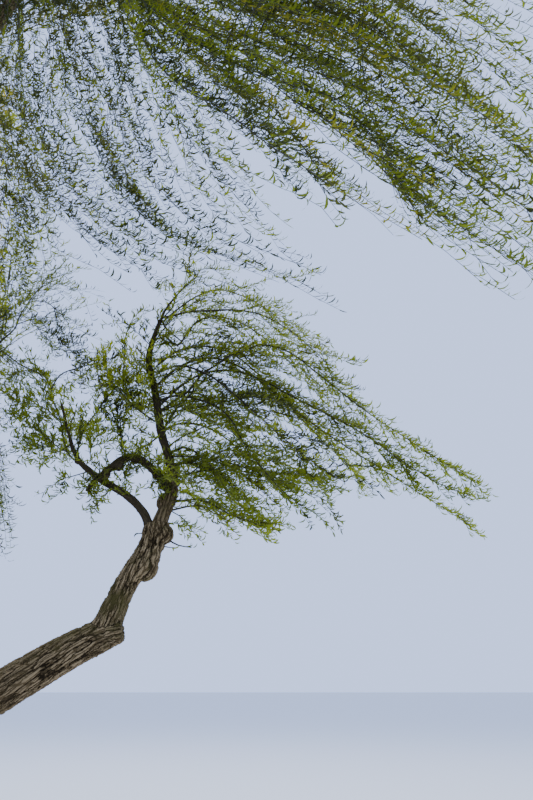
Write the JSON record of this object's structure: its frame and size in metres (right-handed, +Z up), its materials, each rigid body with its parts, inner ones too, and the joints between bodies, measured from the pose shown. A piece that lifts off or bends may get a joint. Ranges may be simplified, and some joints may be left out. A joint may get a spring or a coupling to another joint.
{
  "type": "weeping willow tree",
  "caption": "Wind-blown weeping willow with a leaning trunk, an upright main stem and long hanging curtains of young leaves swept to one side.",
  "frame": {"origin": "centre of the flat cut under the trunk, at ground level", "axes": "+Z up; +X to the side the trunk leans and the wind sweeps the foliage; +Y away from the viewer of the picture"},
  "size_m": [9.9369, 6.6198, 9.4523],
  "materials": {
    "bark": "grey-brown bark with long furrows and a mossy tint",
    "foliage": "matt young willow leaves, yellow-green"
  },
  "bodies": {
    "root": {"trunk": "bark", "main_stem": "bark", "upright_leader": "bark", "lower_left_bough": "bark", "arching_bough": "bark", "tip_branch": "bark", "over_bough_rise": "bark", "over_bough_reach": "bark", "top_bough": "bark", "left_bough_rise": "bark", "left_bough_reach": "bark", "front_bough": "bark", "back_bough": "bark", "front_left_bough": "bark", "back_left_bough": "bark", "inner_right_bough": "bark", "crest_foliage": "foliage", "upper_swept_foliage": "foliage", "long_swept_foliage": "foliage", "middle_swept_foliage": "foliage", "lower_swept_foliage": "foliage", "fork_foliage": "foliage", "left_crest_foliage": "foliage", "left_swept_foliage": "foliage", "left_low_foliage": "foliage", "arch_end_foliage": "foliage", "edge_foliage": "foliage", "edge_curtain": "foliage", "near_curtain_outer": "foliage", "near_curtain_left": "foliage", "near_curtain_long": "foliage", "near_curtain_middle": "foliage", "near_curtain_spray": "foliage", "near_curtain_dense": "foliage", "near_curtain_far": "foliage", "near_curtain_end": "foliage", "over_dome_foliage": "foliage", "top_foliage": "foliage", "left_dome_foliage": "foliage", "front_dome_foliage": "foliage", "back_dome_foliage": "foliage", "back_right_dome_foliage": "foliage", "front_curtain": "foliage", "front_left_curtain": "foliage", "left_curtain": "foliage", "back_left_curtain": "foliage", "back_curtain": "foliage", "back_right_curtain": "foliage", "inner_front_curtain": "foliage"}
  },
  "joints": []
}
